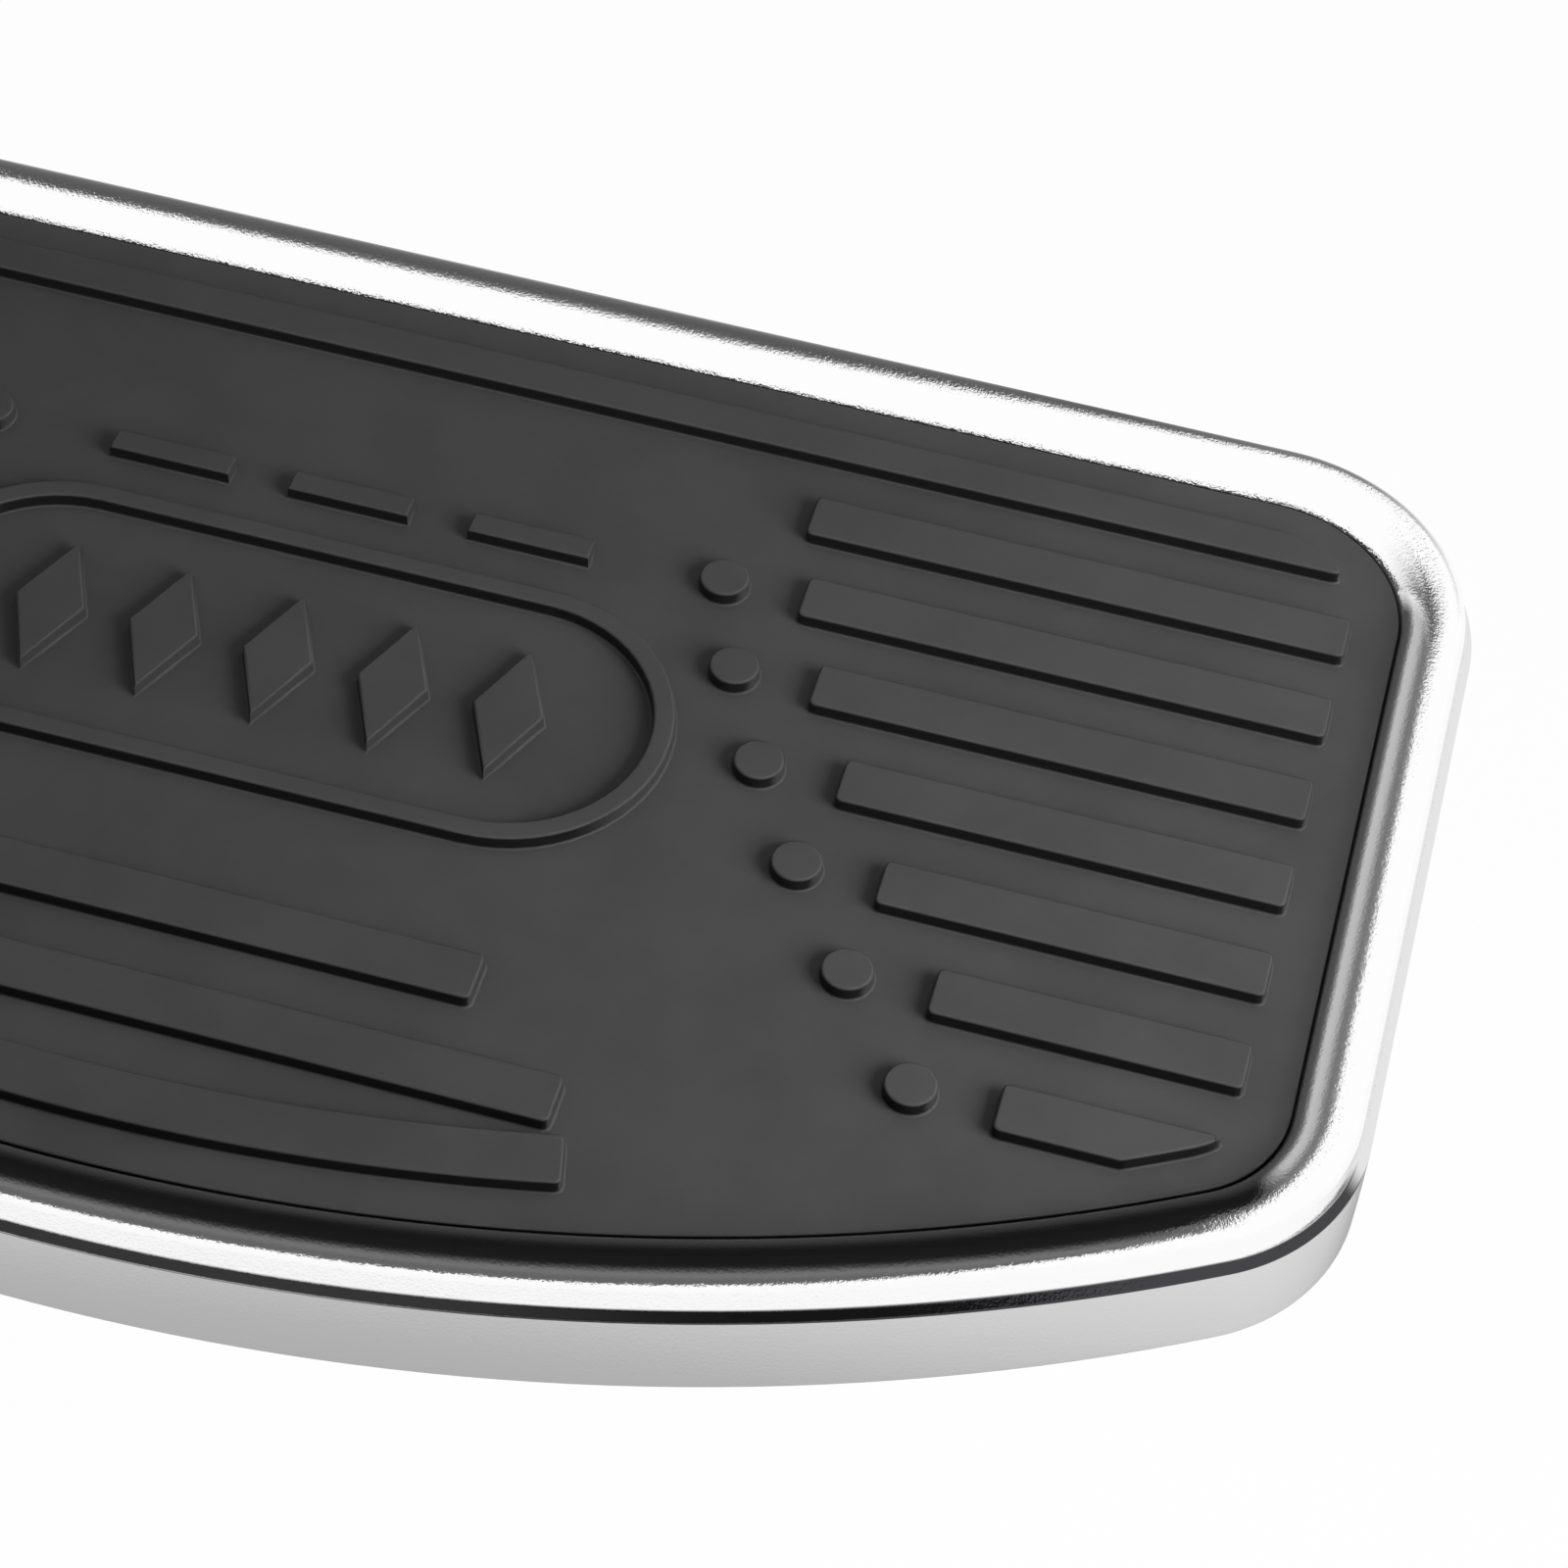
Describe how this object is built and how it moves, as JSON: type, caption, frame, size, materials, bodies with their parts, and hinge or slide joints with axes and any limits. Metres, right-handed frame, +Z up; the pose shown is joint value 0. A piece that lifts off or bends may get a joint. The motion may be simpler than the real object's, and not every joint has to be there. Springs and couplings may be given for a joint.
{
  "type": "motorcycle footboard",
  "caption": "D-shaped folding motorcycle footboard: chrome tray with a rolled rim, black rubber tread pad, and a hinged bracket that bolts to the frame.",
  "frame": {"origin": "centre of the bracket's two bolt holes, on the flat face that meets the motorcycle", "axes": "+X along the board's length, +Y out of the bracket's back face towards the motorcycle, +Z up"},
  "size_m": [0.251, 0.16, 0.0959],
  "materials": {
    "chrome": "polished",
    "rubber": "matte",
    "black_paint": "satin",
    "steel": "satin",
    "bronze": "satin"
  },
  "bodies": {
    "bracket": {"mount_bracket": "black_paint", "outer_bush_left": "bronze", "outer_bush_right": "bronze", "inner_bush_left": "bronze", "inner_bush_right": "bronze", "stop_screw_left": "steel", "stop_screw_right": "steel", "jam_nut_left": "steel", "jam_nut_right": "steel"},
    "board": {"footboard_pan": "chrome", "tread_pad": "rubber", "pivot_pin_left": "steel", "pivot_pin_right": "steel", "spring_washer_left": "steel", "spring_washer_right": "steel", "thrust_washer_left": "steel", "thrust_washer_right": "steel", "retaining_ring_left": "steel", "retaining_ring_right": "steel", "stop_bumper_left": "rubber", "stop_bumper_right": "rubber"}
  },
  "joints": [
    {"name": "fold_up", "type": "hinge", "parent": "bracket", "child": "board", "pos_m": [0, -0.03, 0.042], "axis": [-1, 0, 0], "range_deg": [0, 75]}
  ]
}
